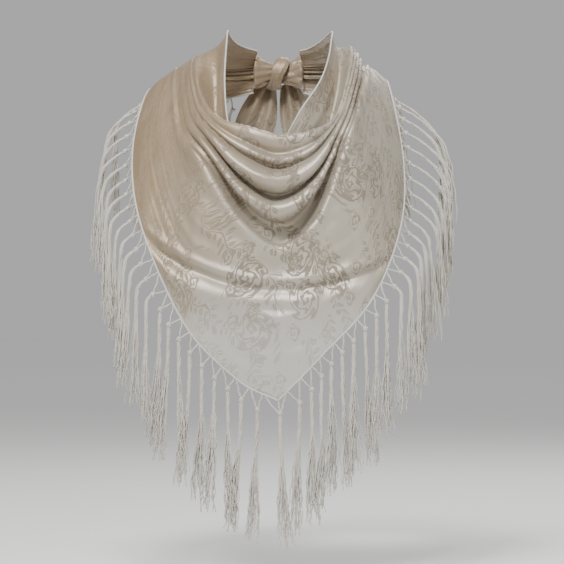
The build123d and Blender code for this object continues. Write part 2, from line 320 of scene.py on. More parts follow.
def calm_of(angle, share):
    """What is left of the rolls' depth at an angle. The left shoulder is nearly smooth."""
    if share < LOWER_ROLLS:
        return 1 - 0.75 * bump_at(angle, -64, 24)
    left = min(1.0, bump_at(angle, -66, 26) + bump_at(angle, -102, 32))
    return 1 - 0.94 * left - 0.5 * bump_at(angle, 100, 28)


def roll_places(angle, rim, down, out, depth):
    """Places of the cowl's rolls in one plane, from the rim on along down."""
    tilt = ROLL_TILT * math.sin(math.radians(2 * angle)) * bump_at(angle, 0, 60)
    places = []
    for k, (share, stand) in enumerate(ROLLS):
        wander = ROLL_SWAY * noise.noise(Vector((angle / 34, k * 0.21, 3.0)))
        sway = (wander - tilt) * math.sin(math.pi * share)
        height = depth * stand * (0.9 + 0.35 * noise.noise(Vector((angle / 26, k * 0.13, 9.0))))
        places.append(rim + down * (share + sway) + out * height * calm_of(angle, share))
    return places


def cloth_grid(sizes):
    """Places of the draped silk, rows from the collar to the hem by columns round the neck."""
    angles = np.linspace(-ANGLES[-1], ANGLES[-1], sizes.columns + 1)
    collar = line_round_neck(COLLAR, angles, NECK_HALF_WIDTH, NECK_HALF_WIDTH, COLLAR_RISE)
    valley = line_round_neck(VALLEY, angles, NECK_HALF_WIDTH, NECK_HALF_WIDTH, COLLAR_RISE)
    rim = line_round_neck(RIM, angles, COWL_REACH, COWL_REACH, COWL_DROP)
    fold = line_round_neck(FOLD, angles, BIB_REACH, BIB_REACH, BIB_DROP)
    hem = line_round_neck(HEM, angles, LEFT_SPREAD, RIGHT_SPREAD, POINT_DROP, pointed=True)
    grid = np.zeros((sizes.rows + 1, sizes.columns + 1, 3))
    for i, angle in enumerate(angles):
        a_collar, a_valley, a_rim, a_fold, a_hem = (
            np.array([far[i], up[i]]) for far, up in (collar, valley, rim, fold, hem)
        )
        down = a_fold - a_rim
        drop = np.linalg.norm(down)
        out = np.array([-down[1], down[0]]) / drop
        depth = sizes.fold_depth * drop / ROLL_SPAN * MM
        column = [a_collar, (a_collar + a_valley) / 2 - out * 1.5 * MM, a_valley, a_rim]
        column += roll_places(angle, a_rim, down, out, depth)
        column.append(a_fold)
        below = a_hem - a_fold
        away = np.array([-below[1], below[0]]) / np.linalg.norm(below)
        bulge = BIB_BULGE * min(1.0, np.linalg.norm(below) / BULGE_SPAN)
        for share in (0.04, 0.12, 0.3, 0.5, 0.75):
            swell = bulge * (4 * share * (1 - share)) + 1.5 * MM * bump_at(share, 0.04, 0.05)
            column.append(a_fold + below * share + away * swell)
        column.append(a_hem)
        profile = resample(column, sizes.rows)
        turn = math.radians(angle)
        grid[:, i, 0] = profile[:, 0] * math.sin(turn)
        grid[:, i, 1] = -profile[:, 0] * math.cos(turn)
        grid[:, i, 2] = profile[:, 1]
    return grid


def grid_normals(grid):
    """Unit normals of the grid, away from the wearer."""
    across = np.gradient(grid, axis=1)
    down = np.gradient(grid, axis=0)
    normal = np.cross(down, across)
    return normal / np.maximum(np.linalg.norm(normal, axis=2, keepdims=True), 1e-9)


def bib_creases(grid):
    """How far the creases that cross the bib stand out: a lip, a thin valley and a broad slope
    below it, then smaller ones. The main crease hangs lowest at the middle."""
    x, z = grid[:, :, 0], grid[:, :, 2]
    line = CREASE_HEIGHT + np.where(x < 0, 2.6, 2.1) * x * x
    lip = 2.4 * bump_at(z, line + 9 * MM, 6 * MM)
    valley = -4.6 * bump_at(z, line, 5.5 * MM)
    slope = 3.6 * bump_at(z, line - 19 * MM, 14 * MM)
    second = 2.0 * bump_at(z, line - 34 * MM, 10 * MM) - 2.6 * bump_at(z, line - 21 * MM, 5 * MM)
    second *= bump_at(x, 0, 34 * MM)
    low = -1.5 * bump_at(z, -260 * MM + 0.15 * x, 6 * MM) * bump_at(x, 20 * MM, 40 * MM)
    slanted = -168 * MM - 0.8 * (x + 115 * MM)
    left = -2.4 * bump_at(z, slanted, 8 * MM) * bump_at(x, -110 * MM, 30 * MM)
    on_bib = np.clip((-158 * MM + 1.6 * np.abs(x) - z) / (20 * MM), 0, 1)
    in_front = grid[:, :, 1] < -40 * MM
    return np.where(in_front, (lip + valley + slope + second + low + left) * on_bib, 0.0) * MM


def add_wrinkles(grid, sizes):
    """The bib's creases, and small wrinkles that run along the folds."""
    normal = grid_normals(grid)
    lift = bib_creases(grid)
    rows, columns = lift.shape
    edge = np.minimum(np.arange(rows), rows - 1 - np.arange(rows)) / rows
    ease = np.clip(edge / EDGE_EASE, 0, 1)[:, None]
    small = np.zeros_like(lift)
    for r in range(rows):
        for c in range(columns):
            p = Vector(grid[r, c])
            u, v = c / columns, r / rows
            turn = (2 * u - 1) * ANGLES[-1]
            even = 1 - 0.8 * bump_at(turn, -70, 36) - 0.5 * bump_at(turn, 75, 34)
            long = even * noise.noise(Vector((u * 9, v * 34, 1.0)))
            cross = noise.noise(p * 42)
            fine = noise.noise(p * 110)
            small[r, c] = 0.9 * long + 0.7 * cross + 0.28 * fine
    return grid + normal * ((lift + small * sizes.wrinkle) * ease)[:, :, None]


GRIDS = {}


def draped(sizes):
    """The draped grid, worked out once for each set of sizes."""
    key = (sizes.rows, sizes.columns, sizes.fold_depth, sizes.wrinkle)
    if key not in GRIDS:
        GRIDS[key] = add_wrinkles(cloth_grid(sizes), sizes)
    return GRIDS[key]


# ---- meshes


def make_object(name, places, faces, material, body):
    """A mesh object in the scene that rides on a body."""
    mesh = bpy.data.meshes.new(name)
    mesh.from_pydata([tuple(p) for p in places], [], faces)
    mesh.polygons.foreach_set("use_smooth", [True] * len(mesh.polygons))
    mesh.materials.append(material)
    mesh.update()
    piece = bpy.data.objects.new(name, mesh)
    bpy.context.scene.collection.objects.link(piece)
    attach(piece, body)
    return piece


def lay_flat(piece, flat):
    """Gives a piece its map Flat: the place of each of its points on the cut cloth, in metres."""
    mesh = piece.data
    layer = mesh.uv_layers.new(name="Flat")
    corner = np.empty(len(mesh.loops), np.int32)
    mesh.loops.foreach_get("vertex_index", corner)
    layer.uv.foreach_set("vector", np.asarray(flat)[corner].astype(np.float32).ravel())


def thicken(piece, thickness):
    """Gives a sheet its thickness, half on each side."""
    modifier = piece.modifiers.new("thickness", "SOLIDIFY")
    modifier.thickness = thickness
    modifier.offset = 0.0


def grid_faces(rows, columns, start=0, wrap=False):
    """Faces of a grid of rows by columns of points; wrap joins the last column to the first."""
    faces = []
    for r in range(rows - 1):
        for c in range(columns if wrap else columns - 1):
            d = (c + 1) % columns
            a = start + r * columns
            faces.append((a + c, a + d, a + columns + d, a + columns + c))
    return faces


class Tubes:
    """Collects round threads into one mesh."""

    def __init__(self):
        self.places = []
        self.faces = []

    def add(self, path, radius, sides=6, taper=1.0):
        """A thread of a radius along a path, tapering to a share of it at the end."""
        path = np.asarray(path, float)
        count = len(path)
        way = np.gradient(path, axis=0)
        way /= np.maximum(np.linalg.norm(way, axis=1, keepdims=True), 1e-9)
        side = np.cross(way[0], (0.31, 0.87, 0.38))
        start = len(self.places)
        for k in range(count):
            side = side - way[k] * side.dot(way[k])
            side /= max(np.linalg.norm(side), 1e-9)
            other = np.cross(way[k], side)
            thick = radius * (1 + (taper - 1) * (k / (count - 1)) ** 2)
            for j in range(sides):
                turn = 2 * math.pi * j / sides
                self.places.append(path[k] + thick * (side * math.cos(turn) + other * math.sin(turn)))
        self.faces += grid_faces(count, sides, start, wrap=True)
        self.faces.append(tuple(start + j for j in reversed(range(sides))))
        self.faces.append(tuple(start + (count - 1) * sides + j for j in range(sides)))

    def object(self, name, material, body):
        """The collected threads as one object."""
        return make_object(name, self.places, self.faces, material, body)


# ---- materials

LEAF_TURN = math.radians(50)  # between a leaf and its stem


class Value:
    """A shader socket that can be used in a Python expression."""

    def __init__(self, tree, socket):
        self.tree, self.socket = tree, socket

    def maths(self, operation, other=0.0, swapped=False):
        first, second = (other, self) if swapped else (self, other)
        return self.tree.node("ShaderNodeMath", {"operation": operation}, {0: first, 1: second})

    def __add__(self, other):
        return self.maths("ADD", other)

    def __sub__(self, other):
        return self.maths("SUBTRACT", other)

    def __rsub__(self, other):
        return self.maths("SUBTRACT", other, swapped=True)

    def __mul__(self, other):
        return self.maths("MULTIPLY", other)

    def __truediv__(self, other):
        return self.maths("DIVIDE", other)

    __radd__ = __add__
    __rmul__ = __mul__


class Tree:
    """The node tree of one material."""

    def __init__(self, name):
        self.material = bpy.data.materials.new(name)
        self.material.use_nodes = True
        self.nodes = self.material.node_tree.nodes
        self.links = self.material.node_tree.links
        self.shader = self.nodes["Principled BSDF"]

    def node(self, kind, settings=None, values=None, output=0):
        """Adds a node: its settings first, then its sockets' values or links."""
        made = self.nodes.new(kind)
        for key, value in (settings or {}).items():
            setattr(made, key, value)
        for key, value in (values or {}).items():
            self.set(made.inputs[key], value)
        return Value(self, made.outputs[output])

    def set(self, socket, value):
        """Links a value to a socket, or sets a number or colour on it."""
        if isinstance(value, Value):
            self.links.new(value.socket, socket)
        else:
            socket.default_value = value

    def surface(self, **values):
        """Sets sockets of the shader; underscores stand for spaces."""
        for key, value in values.items():
            self.set(self.shader.inputs[key.replace("_", " ")], value)
        return self.material

    def step(self, value, low, high):
        """0 below low, 1 above high, and a smooth way between."""
        return self.node(
            "ShaderNodeMapRange", {"interpolation_type": "SMOOTHSTEP"}, {0: value, 1: low, 2: high}
        )

    def mix(self, share, first, second):
        """Mixes two colours."""
        return self.node(
            "ShaderNodeMix", {"data_type": "RGBA"}, {0: share, 6: first, 7: second}, output=2
        )

    def noise(self, place, scale, detail=2.0, output=0):
        """Soft noise; output 0 is a number and output 1 a vector."""
        return self.node(
            "ShaderNodeTexNoise", {}, {"Vector": place, "Scale": scale, "Detail": detail}, output
        )

    def relief(self, height, strength, distance):
        """A normal from a height."""
        return self.node(
            "ShaderNodeBump", {}, {"Strength": strength, "Distance": distance, "Height": height}
        )


def solid(colour):
    """A colour with full alpha."""
    return (*colour, 1.0)


def flower_mask(tree, flat, scale, size, petals, pitch):
    """A weave of flowers, from 0 to 1: petals in rings round scattered middles. Size is a flower's
    radius, and pitch the way from one ring to the next."""
    settings = {"feature": "F1", "voronoi_dimensions": "2D"}
    values = {"Vector": flat, "Scale": scale, "Randomness": 0.75}
    far = tree.node("ShaderNodeTexVoronoi", settings, values, output=0) / scale
    middle = tree.node("ShaderNodeTexVoronoi", settings, values, output=2)
    from_middle = tree.node("ShaderNodeVectorMath", {"operation": "SUBTRACT"}, {0: flat, 1: middle})
    x = tree.node("ShaderNodeSeparateXYZ", {}, {0: from_middle}, output=0)
    y = tree.node("ShaderNodeSeparateXYZ", {}, {0: from_middle}, output=1)
    turn = tree.node("ShaderNodeMath", {"operation": "ARCTAN2"}, {0: y, 1: x})
    wavy = tree.noise(flat, 160.0) * 0.35 + 0.82
    lobes = 1.0 + (turn * petals + far * 420.0).maths("SINE") * 0.16
    ringed = far * lobes * wavy
    rings = (ringed * (2 * math.pi / pitch) + turn).maths("SINE")
    inside = 1.0 - tree.step(ringed, size * 0.93, size)
    outline = tree.step(ringed, size * 0.84, size * 0.9) * inside
    petal_edges = tree.step(rings, 0.1, 0.55) * inside
    return petal_edges + outline - petal_edges * outline


def sprig_mask(tree, flat, lane, leaf):
    """Sprays between the roses, from 0 to 1: bent stems with leaves in pairs. Stems run a lane
    apart, and leaf is the length of a leaf."""
    bent = tree.node(
        "ShaderNodeVectorMath", {"operation": "MULTIPLY_ADD"},
        {0: tree.noise(flat, 20.0, output=1), 1: (0.035, 0.035, 0.0), 2: flat},
    )
    turned = tree.node(
        "ShaderNodeVectorRotate", {"rotation_type": "Z_AXIS"}, {"Vector": bent, "Angle": 0.9}
    )
    u = tree.node("ShaderNodeSeparateXYZ", {}, {0: turned}, output=0)
    v = tree.node("ShaderNodeSeparateXYZ", {}, {0: turned}, output=1)
    across = ((v / lane).maths("FRACT") - 0.5) * lane
    beside = (across - (u * 140.0).maths("SINE") * (0.4 * leaf)).maths("ABSOLUTE")
    spacing = 0.8 * leaf
    along = ((u / spacing).maths("FRACT") - 0.5) * spacing
    away = beside - 0.5 * leaf
    length = along * math.cos(LEAF_TURN) + away * math.sin(LEAF_TURN)
    width = away * math.cos(LEAF_TURN) - along * math.sin(LEAF_TURN)
    oval = (length / (0.5 * leaf)).maths("POWER", 2.0) + (width / (0.19 * leaf)).maths("POWER", 2.0)
    blade = 1.0 - tree.step(oval, 0.75, 1.05)
    vein = tree.step(width.maths("ABSOLUTE"), 0.1 * MM, 0.5 * MM)
    stem = 1.0 - tree.step(beside, 0.35 * MM, 0.8 * MM)
    patch = tree.step(tree.noise(flat, 15.0, 1.0), 0.46, 0.51)
    return (blade * vein).maths("MAXIMUM", stem) * patch


def silk_material(colours):
    """Satin with a matte weave of roses and leaves, with painted shade on the left shoulder and painted
    sheen at the point.
    """
    tree = Tree("rose_satin")
    flat = tree.node("ShaderNodeUVMap", {"uv_map": "Flat"})
    place = tree.node("ShaderNodeTexCoord", output=3)
    roses = flower_mask(tree, flat, scale=13.0, size=22 * MM, petals=5.0, pitch=7.4 * MM)
    buds = flower_mask(tree, flat, scale=24.0, size=8.5 * MM, petals=4.0, pitch=5.2 * MM)
    sprigs = sprig_mask(tree, flat, lane=32 * MM, leaf=11.5 * MM)
    weave = roses.maths("MAXIMUM", sprigs * 0.9).maths("MAXIMUM", buds * 0.85)
    x = tree.node("ShaderNodeSeparateXYZ", {}, {0: place}, output=0)
    z = tree.node("ShaderNodeSeparateXYZ", {}, {0: place}, output=2)
    patchy = tree.noise(place, 14.0, 3.0)
    # Painted shade: the silk turns darker and tan towards the left shoulder.
    shoulder_shade = tree.step(z * 3.0 - x * 4.8 + patchy * 0.9, 0.0, 0.95)
    # Painted sheen: the silk turns paler towards the point.
    low = tree.step(z + patchy * 0.05, -0.15, -0.235)
    silver = tree.mix(low, solid(colours.silver), solid(colours.point_sheen))
    ground = tree.mix(shoulder_shade, silver, solid(colours.tan))
    # The roses take half of the shoulder's painted shade.
    figure = tree.mix(shoulder_shade * 0.5, solid(colours.rose), solid(colours.tan))
    # Towards the point the weave fades into the painted sheen.
    colour = tree.mix(weave * (0.85 - low * 0.4), ground, figure)
    threads = tree.node(
        "ShaderNodeTexWave", {"bands_direction": "Y"},
        {"Vector": flat, "Scale": 420.0, "Distortion": 0.6, "Detail": 1.0},
    )
    drawn_out = tree.node(
        "ShaderNodeVectorMath", {"operation": "MULTIPLY"}, {0: flat, 1: (60.0, 900.0, 1.0)}
    )
    slubs = tree.noise(drawn_out, 1.0)
    height = weave * 0.6 + threads * 0.16 + slubs * 0.22
    rough = weave * 0.2 + slubs * 0.1 + 0.38
    return tree.surface(
        Base_Color=colour, Roughness=rough, Metallic=0.42 - weave * 0.36,
        Normal=tree.relief(height, 0.5, 0.0005),
        Sheen_Weight=0.15, Sheen_Roughness=0.4, Specular_IOR_Level=0.55,
    )


def thread_material(name, colour, rough):
    """Twisted silk thread."""
    tree = Tree(name)
    place = tree.node("ShaderNodeTexCoord", output=3)
    strand = tree.node(
        "ShaderNodeTexWave", {"bands_direction": "DIAGONAL"},
        {"Vector": place, "Scale": 330.0, "Distortion": 1.5, "Detail": 1.0},
    )
    patchy = tree.noise(place, 60.0, 3.0)
    darker = tuple(0.62 * c for c in colour)
    shade = tree.mix(strand * 0.35 + patchy * 0.45, solid(colour), solid(darker))
    return tree.surface(
        Base_Color=shade, Roughness=patchy * 0.15 + rough,
        Normal=tree.relief(strand, 0.4, 0.0003), Sheen_Weight=0.3, Sheen_Roughness=0.5,
    )


def floor_material(colour):
    """A pale floor, paler far away so that it meets the sky without a line."""
    tree = Tree("floor")
    place = tree.node("ShaderNodeTexCoord", output=3)
    grain = tree.noise(place, 6.0, 3.0)
    paler = tuple(min(1.0, 1.05 * c) for c in colour)
    far = tree.node("ShaderNodeVectorMath", {"operation": "LENGTH"}, {0: place}, output=1)
    near = tree.mix(grain, solid(colour), solid(paler))
    shade = tree.mix(tree.step(far, 0.8, 6.0), near, FAR_FLOOR)
    return tree.surface(Base_Color=shade, Roughness=0.9)


FINISHES = {}


def finish_of(name):
    """The material of a finish, made once."""
    if name not in FINISHES:
        colours = bpy.context.scene.shawl_colours
        if name == "silk":
            FINISHES[name] = silk_material(colours)
        elif name == "hem":
            FINISHES[name] = thread_material("rolled_hem", tuple(colours.hem), 0.42)
        else:
            FINISHES[name] = thread_material("twisted_silk", tuple(colours.thread), 0.45)
    return FINISHES[name]


# ---- operators


def keep(piece, material_slot, *nodes):
    """Hides these CAD nodes, which the piece stands for; the slot is not used."""
    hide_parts(*nodes)


class SHAWL_OT_silk(bpy.types.Operator):
    """Build the draped silk."""

    bl_idname = "shawl.silk"
    bl_label = "Silk"

    def execute(self, context):
        sizes = context.scene.shawl_sizes
        grid = draped(sizes)
        rows, columns = grid.shape[:2]
        piece = make_object(
            "shawl_silk", grid.reshape(-1, 3), grid_faces(rows, columns), finish_of("silk"), "shawl"
        )
        along = np.linalg.norm(np.diff(grid, axis=1), axis=2)
        across = np.linalg.norm(np.diff(grid, axis=0), axis=2)
        u = np.concatenate([np.zeros((rows, 1)), np.cumsum(along, axis=1)], axis=1)
        u -= u[:, columns // 2][:, None]
        v = np.concatenate([np.zeros((1, columns)), np.cumsum(across, axis=0)], axis=0)
        lay_flat(piece, np.stack([u, -v], 2).reshape(-1, 2))
        thicken(piece, sizes.silk_thickness)
        keep(piece, "silk", "silk_panel")
        return {"FINISHED"}


def edge_path(grid, row, first, last, out):
    """Places beside one row of the grid, moved past the cloth's edge by out."""
    inner = grid[-2] if row == -1 else grid[1]
    edge = grid[row]
    away = edge - inner
    away /= np.maximum(np.linalg.norm(away, axis=1, keepdims=True), 1e-9)
    return (edge + away * out)[first:last]


class SHAWL_OT_hems(bpy.types.Operator):
    """Build the rolled hems along the cloth's edges."""

    bl_idname = "shawl.hems"
    bl_label = "Hems"

    def execute(self, context):
        sizes = context.scene.shawl_sizes
        grid = draped(sizes)
        middle = grid.shape[1] // 2
        for name, row, first, last in (
            ("neck_hem", 0, 0, None), ("left_hem", -1, 0, middle + 1), ("right_hem", -1, middle, None)
        ):
            path = edge_path(grid, row, first, last, 0.3 * sizes.hem_radius)
            tubes = Tubes()
            tubes.add(path, sizes.hem_radius if row else 0.8 * sizes.hem_radius, sides=8)
            keep(tubes.object("shawl_" + name, finish_of("hem"), "shawl"), "hem", name)
        return {"FINISHED"}


def outwards_of(node):
    """The level way in which a tassel swings, at a right angle to its hinge."""
    axis = KNOTS[node]["axis"]
    return np.array([-axis[1], axis[0], 0.0])


def tassel_line(knot, outwards, carry, drop):
    """Middle line of a tassel that is carried out over the shoulder and then falls."""
    down = np.array([0.0, 0.0, -1.0])
    if carry < 1 * MM:
        return [knot + down * drop * share for share in (0.0, 0.15, 0.4, 0.7, 1.0)]
    over = knot + outwards * carry + down * CARRY_SLOPE * carry
    reach = np.linalg.norm(over - knot)
    way = (over - knot) / reach
    half_turn = math.acos(way.dot(down)) / 2
    radius = BEND_SHARE * reach
    tangent = radius * math.tan(half_turn)
    inwards = (down - way) / np.linalg.norm(down - way)
    end = np.array([over[0], over[1], knot[2] - drop])
    return [
        knot,
        over - way * tangent,
        over + inwards * radius * (1 / math.cos(half_turn) - 1),
        over + down * tangent,
        over + down * tangent + (end - over - down * tangent) * 0.5,
        end,
    ]


def tassel_threads(tubes, knot, outwards, carry, drop, seed, sizes):
    """One tassel: a knot, threads twisted together, and crinkled threads that part below."""
    chance = random.Random(seed)
    carry *= chance.uniform(*CARRY_SPREAD)
    drop *= chance.uniform(*DROP_SPREAD)
    base = resample(tassel_line(knot, outwards, carry, drop), TASSEL_STEPS)
    side = np.array([outwards[1], -outwards[0], 0.0])
    share = np.linspace(0, 1, len(base))
    lean, stand = chance.uniform(*LEAN) * MM, chance.uniform(*STAND) * MM
    base = base + np.outer(share**1.6 * lean, side) + np.outer(share**1.6 * stand, outwards)
    wave = chance.uniform(0, 2 * math.pi)
    base = base + np.outer(1.4 * MM * np.sin(share * 8 + wave) * share, side)
    part = chance.uniform(*PARTING)
    loose = np.clip((share - part) / (1 - part), 0, 1)
    twist = chance.uniform(*TWIST) * chance.choice((-1, 1))
    for k in range(sizes.threads):
        angle = 2 * math.pi * k / sizes.threads + twist * np.minimum(share, part)
        spread = chance.uniform(0.4, 1.7) * MM * np.clip(share / 0.03, 0.35, 1)
        wild = WILD_SPREAD if chance.random() < WILD_CHANCE else 1.0
        aside = chance.uniform(-8, 8) * MM * wild * loose**0.75
        front = chance.uniform(-3.5, 6) * MM * wild * loose**0.75
        for size in (0.95 * MM, 0.5 * MM):
            turns, start = chance.uniform(20, 60), chance.uniform(0, 2 * math.pi)
            aside = aside + size * np.sqrt(loose) * np.sin(share * turns + start)
            front = front + 0.7 * size * np.sqrt(loose) * np.cos(share * turns * 0.8 + start)
        path = base + np.outer(spread * np.cos(angle) + aside, side)
        path = path + np.outer(spread * np.sin(angle) + front, outwards)
        last = int(len(path) * chance.uniform(0.84, 1.0))
        radius = sizes.thread_radius * chance.uniform(0.7, 1.15)
        tubes.add(path[:last], radius, sides=4, taper=0.6)
    tie_knot(tubes, knot, base[1] - base[0], side)


def tie_knot(tubes, knot, way, side):
    """A few turns of thread round the top of a tassel, and what they hold."""
    way = way / np.linalg.norm(way)
    other = np.cross(way, side)
    share = np.linspace(0, 1, KNOT_STEPS)
    turn = 2 * math.pi * KNOT_TURNS * share
    ring = np.outer(np.cos(turn), side) + np.outer(np.sin(turn), other)
    tubes.add(knot + np.outer((share - 0.5) * 3.4 * MM, way) + 1.75 * MM * ring, 0.95 * MM, sides=7)
    tubes.add([knot + way * at * MM for at in (-2.3, -1.2, 0.0, 1.2, 2.6)], 1.7 * MM, sides=8)


def carry_of(node, outwards, knot):
    """How far a CAD tassel is carried out over the shoulder."""
    low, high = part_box(node)
    corners = [np.array([x, y, 0]) for x in (low[0], high[0]) for y in (low[1], high[1])]
    flat_knot = np.array([knot[0], knot[1], 0])
    far = max(float((corner - flat_knot).dot(outwards)) for corner in corners)
    return max(0.0, far - SKIRT_RADIUS * (abs(outwards[0]) + abs(outwards[1])))


class SHAWL_OT_tassels(bpy.types.Operator):
    """Build a tassel of silk threads at every knot of both sides."""

    bl_idname = "shawl.tassels"
    bl_label = "Tassels"

    def execute(self, context):
        sizes = context.scene.shawl_sizes
        for count, node in enumerate(sorted(KNOTS)):
            knot = np.array(KNOTS[node]["pos_m"])
            outwards = outwards_of(node)
            carry = carry_of(node, outwards, knot)
            tubes = Tubes()
            drop = knot[2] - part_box(node)[0][2]
            tassel_threads(tubes, knot, outwards, carry, drop, TASSEL_SEED + count, sizes)
            piece = tubes.object("threads_" + node, finish_of("thread"), node)
            keep(piece, "thread", node)
        return {"FINISHED"}


def islands(node):
    """The boxes of the separate solids in a CAD node, as (lowest, highest) corners."""
    mesh = frame["nodes"][node].data
    co = np.empty(len(mesh.vertices) * 3, np.float32)
    mesh.vertices.foreach_get("co", co)
    co = co.reshape(-1, 3)
    _, same = np.unique(np.round(co, 6), axis=0, return_inverse=True)
    same = same.reshape(-1)
    parent = list(range(same.max() + 1))

    def root(k):
        while parent[k] != k:
            parent[k] = parent[parent[k]]
            k = parent[k]
        return k

    for edge in mesh.edges:
        a, b = root(same[edge.vertices[0]]), root(same[edge.vertices[1]])
        parent[a] = b
    groups = {}
    for vertex, k in enumerate(same):
        groups.setdefault(root(k), []).append(vertex)
    return [(co[g].min(0), co[g].max(0)) for g in groups.values()]


BACK_KNOTS = {}


def back_knots(side):
    """Knot, outward way, carry and drop of the tassels on one side of the back."""
    if side in BACK_KNOTS:
        return BACK_KNOTS[side]
    found = []
    for low, high in islands(side + "_back_tassels"):
        middle = (low + high) / 2
        outwards = np.array([middle[0], middle[1], 0.0])
        outwards /= np.linalg.norm(outwards)
        corners = [np.array([x, y, 0]) for x in (low[0], high[0]) for y in (low[1], high[1])]
        reach = [float(corner.dot(outwards)) for corner in corners]
        slack = abs(outwards[0]) + abs(outwards[1])
        inner, outer = min(reach) + KNOT_RADIUS * slack, max(reach) - SKIRT_RADIUS * slack
        knot = outwards * inner
        knot[2] = high[2] - KNOT_RADIUS
        found.append((knot, outwards, outer - inner, float(knot[2] - low[2])))
    found.sort(key=lambda item: -abs(item[0][0]))
    BACK_KNOTS[side] = found
    return found


class SHAWL_OT_back_tassels(bpy.types.Operator):
    """Build the fringe that lies on the back."""

    bl_idname = "shawl.back_tassels"
    bl_label = "Back fringe"

    def execute(self, context):
        sizes = context.scene.shawl_sizes
        for side, seed in BACK_SEEDS:
            tubes = Tubes()
            for k, (knot, outwards, carry, drop) in enumerate(back_knots(side)):
                tassel_threads(tubes, knot, outwards, carry, drop, seed + k, sizes)
            node = side + "_back_tassels"
            keep(tubes.object("threads_" + node, finish_of("thread"), "shawl"), "thread", node)
        return {"FINISHED"}


def net_leg(tubes, start, end, sag, radius, seed):
    """Two threads of the net side by side, sagging between hem and knot."""
    chance = random.Random(seed)
    share = np.linspace(0, 1, NET_STEPS)
    for k in (-1, 1):
        path = start + np.outer(share, end - start)
        path[:, 2] -= 4 * sag * share * (1 - share)
        swing = 0.5 * MM * k * np.sin(share * 12 + chance.uniform(0, 6))
        path[:, 0] += swing
        path[:, 1] -= 0.35 * MM * k
        tubes.add(path, radius, sides=5)


def on_line(line, run, at):
    """The place at a distance along a line of points."""
    return np.array([np.interp(at, run, line[:, i]) for i in range(3)])


class SHAWL_OT_net(bpy.types.Operator):
    """Build the row of threads between hem and knots."""

    bl_idname = "shawl.net"
    bl_label = "Net"

    def execute(self, context):
        sizes = context.scene.shawl_sizes
        hem = draped(sizes)[-1]
        middle = len(hem) // 2
        for side in ("left", "right"):
            line = hem[middle::-1] if side == "left" else hem[middle:]
            run = np.concatenate([[0], np.cumsum(np.linalg.norm(np.diff(line, axis=0), axis=1))])
            nodes = ["point_tassel"] + sorted(n for n in KNOTS if n.startswith(side))
            knots = [np.array(KNOTS[n]["pos_m"]) for n in nodes]
            knots += [item[0] for item in back_knots(side)]
            feet = [run[np.argmin(np.linalg.norm(line - knot, axis=1))] for knot in knots]
            tubes = Tubes()
            for k, knot in enumerate(knots):
                if k or side == "left":
                    net_leg(tubes, on_line(line, run, feet[k]), knot, 0.0, sizes.thread_radius, k)
                if k + 1 < len(knots):
                    foot = on_line(line, run, feet[k + 1] - 1.5 * MM)
                    net_leg(tubes, foot, knot, 2.2 * MM, sizes.thread_radius, NET_SEED + k)
            node = side + "_net"
            keep(tubes.object("threads_" + node, finish_of("thread"), "shawl"), "thread", node)
        return {"FINISHED"}


